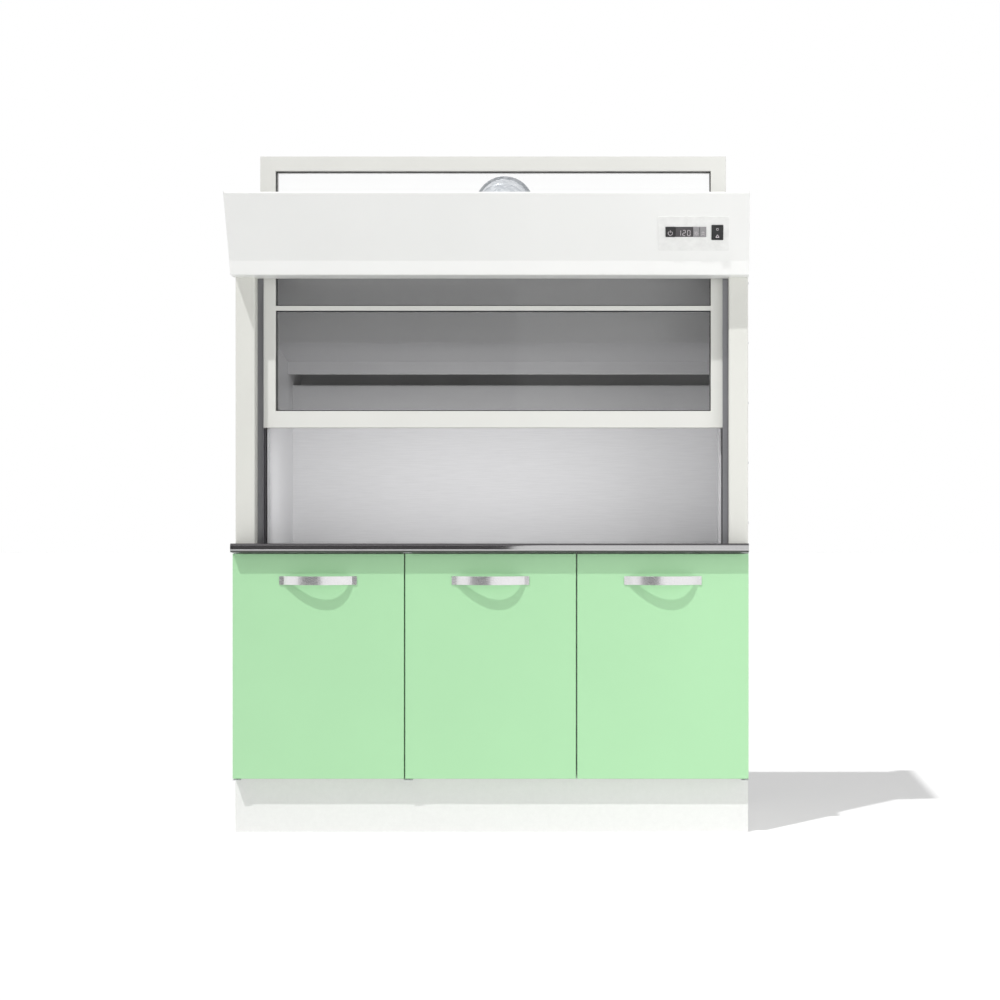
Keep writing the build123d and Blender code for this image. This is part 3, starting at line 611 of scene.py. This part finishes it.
def make_fan_mark():
    """An open ring with a bar in its gap."""
    mesh = bmesh.new()
    face = mark_face("key_fan")
    mark_arc(mesh, face, radius=0.0062, width=0.0013, start=120, end=420)
    mark_bar(mesh, face, 0, 0.0052, width=0.0013, height=0.0074)
    piece("key_fan_mark", mesh, "key_grey", "fan_button", "mark_pale")


def make_light_mark():
    """A ring with rays."""
    mesh = bmesh.new()
    face = mark_face("key_light")
    mark_arc(mesh, face, radius=0.0028, width=0.0011)
    for k in range(LIGHT_RAYS):
        angle = 2 * math.pi * k / LIGHT_RAYS
        x, y = LIGHT_RAY_REACH * math.cos(angle), LIGHT_RAY_REACH * math.sin(angle)
        mark_bar(mesh, face, x, y, width=0.0026, height=0.0010, turn=angle)
    piece("key_light_mark", mesh, "key_grey", "light_button", "mark_pale")


def make_speed_mark():
    """Two chevrons, one above the other."""
    mesh = bmesh.new()
    face = mark_face("key_speed")
    for y in (-0.0035, 0.0025):
        mark_arms(mesh, face, y, reach=0.0022, length=0.0064, width=0.0012, slope=45)
    piece("key_speed_mark", mesh, "key_grey", "speed_button", "mark_pale")


def make_rocker_marks():
    """A triangle low on the rocker and a small ring high on it."""
    mesh = bmesh.new()
    face = mark_face("power_rocker", 0, -ROCKER_MARK_REACH)
    mark_arms(mesh, face, 0, reach=0.0022, length=0.0088, width=0.0015, slope=60)
    mark_bar(mesh, face, 0, -0.0042, width=0.0098, height=0.0015)
    face = mark_face("power_rocker", 0, ROCKER_MARK_REACH)
    mark_arc(mesh, face, radius=0.0030, width=0.0011)
    piece("rocker_marks", mesh, "key_grey", "rocker", "mark_pale")


make_display_digits()
make_fan_mark()
make_light_mark()
make_speed_mark()
make_rocker_marks()


# Fasteners and the seams of the duct

SCREW_RADIUS = 0.004
SCREW_SIDES = 20
SCREW_SHAPE = ((0.0, 1.0), (0.3, 1.0), (0.52, 0.86), (0.6, 0.6), (0.6, 0.42), (0.15, 0.40))
HANDLE_FOOT = 0.007
CASING_SCREW_ROWS = 5
CASING_SCREW_INSET = 0.03
CASING_SCREW_FOOT = 0.06
CASING_SCREW_HEAD = 0.24

BOLT_RADIUS = 0.0045
BOLT_SIDES = 6
BOLT_SHAPE = ((0.0, 1.0), (0.003, 1.0), (0.0036, 0.8))
FLANGE_BOLTS = 8
FLANGE_BOLT_CIRCLE = 0.0865
FLANGE_THICKNESS = 0.003

SEAM_HEIGHT = 0.0014
SEAM_WIDTH = 0.005
SEAM_SIDES = 64
SEAM_SHAPE = ((0.0, -0.5), (0.7, -0.35), (1.0, 0.0), (0.7, 0.35), (0.0, 0.5))
ELBOW_SEAMS = (4, 30, 60, 86)
SPIGOT_SEAM_INSET = 0.012


def screw(mesh, at, axis):
    """A pan head with a round socket. SCREW_SHAPE is in shares of its radius."""
    profile = [(height * SCREW_RADIUS, radius * SCREW_RADIUS) for height, radius in SCREW_SHAPE]
    turned(mesh, at, axis, profile, SCREW_SIDES)


def bolt_circle(mesh, centre, right, up, axis):
    """Hexagon heads around a flange, whose plane has the axes right and up."""
    profile = [(height, share * BOLT_RADIUS) for height, share in BOLT_SHAPE]
    for k in range(FLANGE_BOLTS):
        angle = 2 * math.pi * (k + 0.5) / FLANGE_BOLTS
        ray = math.cos(angle) * Vector(right) + math.sin(angle) * Vector(up)
        turned(mesh, Vector(centre) + FLANGE_BOLT_CIRCLE * ray, axis, profile, BOLT_SIDES)


def hoop(mesh, centre, axis, radius):
    """A low raised seam around a pipe."""
    turn = Vector(axis).normalized().to_track_quat("Z", "Y").to_matrix()
    rings = []
    for i in range(SEAM_SIDES):
        angle = 2 * math.pi * i / SEAM_SIDES
        ray = Vector((math.cos(angle), math.sin(angle), 0))
        ring = []
        for rise, along in SEAM_SHAPE:
            point = (radius + rise * SEAM_HEIGHT) * ray + Vector((0, 0, along * SEAM_WIDTH))
            ring.append(Vector(centre) + turn @ point)
        rings.append(add_ring(mesh, ring))
    skin_rings(mesh, rings, closed=True)


def make_handle_screws():
    for name in ("left", "middle", "right"):
        mesh = bmesh.new()
        low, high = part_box(f"handle_{name}")
        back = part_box(f"door_{name}")[1].y
        for x in (low.x + HANDLE_FOOT, high.x - HANDLE_FOOT):
            screw(mesh, (x, back, (low.z + high.z) / 2), (0, 1, 0))
        piece(f"handle_screws_{name}", mesh, "steel_zinc", f"{name}_door")


def make_casing_screws():
    mesh = bmesh.new()
    low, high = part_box("side_casing_right")
    height = high.z - low.z - CASING_SCREW_FOOT - CASING_SCREW_HEAD
    for sign in (-1, 1):
        for y in (low.y + CASING_SCREW_INSET, high.y - CASING_SCREW_INSET):
            for i in range(CASING_SCREW_ROWS):
                z = low.z + CASING_SCREW_FOOT + i * height / (CASING_SCREW_ROWS - 1)
                screw(mesh, (sign * high.x, y, z), (sign, 0, 0))
    piece("casing_screws", mesh, "steel_zinc", "frame")


def make_duct_bolts():
    mesh = bmesh.new()
    low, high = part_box("exhaust_collar")
    collar = (low + high) / 2
    collar.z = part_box("roof_panel")[1].z + FLANGE_THICKNESS
    bolt_circle(mesh, collar, (1, 0, 0), (0, 1, 0), (0, 0, 1))
    flange_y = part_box("exhaust_spigot")[0].y + FLANGE_THICKNESS
    fan_z = joints["fan_spin"]["pos_m"][2]
    bolt_circle(mesh, (0, flange_y, fan_z), (1, 0, 0), (0, 0, 1), (0, 1, 0))
    piece("duct_bolts", mesh, "steel_zinc", "frame")


def make_duct_seams():
    mesh = bmesh.new()
    low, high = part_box("exhaust_elbow")
    radius = (high.x - low.x) / 2
    bend = high.y - (low.y + radius)
    pivot = Vector((0, high.y, low.z))
    for degrees in ELBOW_SEAMS:
        angle = math.radians(degrees)
        centre = pivot + bend * Vector((0, -math.cos(angle), math.sin(angle)))
        hoop(mesh, centre, (0, math.sin(angle), math.cos(angle)), radius)
    spigot_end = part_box("exhaust_spigot")[1].y
    hoop(mesh, (0, spigot_end - SPIGOT_SEAM_INSET, joints["fan_spin"]["pos_m"][2]), (0, 1, 0), radius)
    piece("duct_seams", mesh, "duct_steel", "frame")


make_handle_screws()
make_casing_screws()
make_duct_bolts()
make_duct_seams()


# Camera, light and floor


def make_camera():
    camera = bpy.data.objects.new("camera", bpy.data.cameras.new("camera"))
    bpy.context.scene.collection.objects.link(camera)
    camera.location = (CAMERA_X, DOOR_FACE_Y - CAMERA_DISTANCE, CAMERA_Z)
    camera.rotation_euler = (math.radians(90), 0, 0)
    camera.data.sensor_width = SENSOR
    camera.data.lens = LENS
    camera.data.shift_x = 0.5 - AIM_PIXEL[0] / IMAGE_SIZE
    camera.data.shift_y = AIM_PIXEL[1] / IMAGE_SIZE - 0.5
    camera.data.clip_end = 100
    bpy.context.scene.camera = camera


def add_lamp(name, kind, power, ray):
    """A lamp that shines along a ray."""
    lamp = bpy.data.objects.new(name, bpy.data.lights.new(name, kind))
    bpy.context.scene.collection.objects.link(lamp)
    lamp.data.energy = power
    lamp.rotation_euler = Vector(ray).to_track_quat("-Z", "Y").to_euler()
    return lamp


def make_sun():
    sun = add_lamp("sun", "SUN", SUN_STRENGTH, SUN_RAY)
    sun.data.angle = SUN_ANGLE


def make_soft_lamp(name, power, size, place, aim):
    """A large lamp that only lights: it shows in no mirror and through no pane."""
    lamp = add_lamp(name, "AREA", power, Vector(aim) - Vector(place))
    lamp.data.shape = "RECTANGLE"
    lamp.data.size, lamp.data.size_y = size
    lamp.location = place
    lamp.visible_camera = False
    lamp.visible_glossy = False
    lamp.visible_transmission = False


def shown_directly(tree):
    """1 for rays from the camera, a mirror or through glass, else 0."""
    path = tree.nodes.new("ShaderNodeLightPath")
    total = path.outputs["Is Camera Ray"]
    for name in ("Is Glossy Ray", "Is Transmission Ray"):
        node = tree.nodes.new("ShaderNodeMath")
        node.operation = "MAXIMUM"
        tree.links.new(total, node.inputs[0])
        tree.links.new(path.outputs[name], node.inputs[1])
        total = node.outputs["Value"]
    return total


def make_world():
    """A white surround, which lights the object at a plain level."""
    world = bpy.data.worlds.new("surround")
    bpy.context.scene.world = world
    world.use_nodes = True
    tree = world.node_tree
    level = tree.nodes.new("ShaderNodeMapRange")
    level.inputs["To Min"].default_value = AMBIENT
    level.inputs["To Max"].default_value = 1.0
    tree.links.new(shown_directly(tree), level.inputs["Value"])
    tree.links.new(level.outputs["Result"], tree.nodes["Background"].inputs["Strength"])
    tree.nodes["Background"].inputs["Color"].default_value = (1, 1, 1, 1)


def add_sheet(name, corners, material):
    """One flat face of the setting."""
    mesh = bmesh.new()
    mesh.faces.new([mesh.verts.new(corner) for corner in corners])
    data = bpy.data.meshes.new(name)
    mesh.to_mesh(data)
    mesh.free()
    data.materials.append(material)
    sheet = bpy.data.objects.new(name, data)
    bpy.context.scene.collection.objects.link(sheet)
    return sheet


def make_floor():
    """A white floor that keeps the shadow, and returns less light to the object than it shows."""
    paint = Paint("floor_white")
    shown = shown_directly(paint.tree)
    paint.link(paint.spread(shown, FLOOR_BOUNCE, 1.0), paint.shader.inputs["Base Color"])
    paint.link(paint.spread(shown, 0.0, FLOOR_LIFT), paint.shader.inputs["Emission Strength"])
    paint.set(Roughness=1.0, Specular_IOR_Level=0.0, Emission_Color=(1, 1, 1, 1))
    half = FLOOR_HALF_SIZE
    corners = [(-half, -half, 0), (half, -half, 0), (half, half, 0), (-half, half, 0)]
    floor = add_sheet("floor", corners, paint.material)


def make_card():
    """The dark side of the room. Only glossy surfaces see it."""
    paint = Paint("card_dark")
    paint.set(Base_Color=(0, 0, 0, 1), Specular_IOR_Level=0.0, Emission_Strength=CARD_TONE)
    paint.set(Emission_Color=(1, 1, 1, 1))
    left, right = CARD_EDGE_X - CARD_SIZE, CARD_EDGE_X
    low, high = CARD_FOOT, CARD_SIZE
    corners = [(left, CARD_Y, low), (right, CARD_Y, low), (right, CARD_Y, high), (left, CARD_Y, high)]
    card = add_sheet("dark_card", corners, paint.material)
    card.visible_camera = False
    card.visible_diffuse = False
    card.visible_shadow = False
    card.visible_transmission = False


make_camera()
make_sun()
make_soft_lamp("fill", FILL_POWER, FILL_SIZE, FILL_PLACE, FILL_AIM)
make_soft_lamp("chamber_fill", CHAMBER_POWER, CHAMBER_SIZE, CHAMBER_PLACE, CHAMBER_AIM)
make_world()
make_floor()
make_card()
bpy.context.scene.view_settings.view_transform = "Standard"
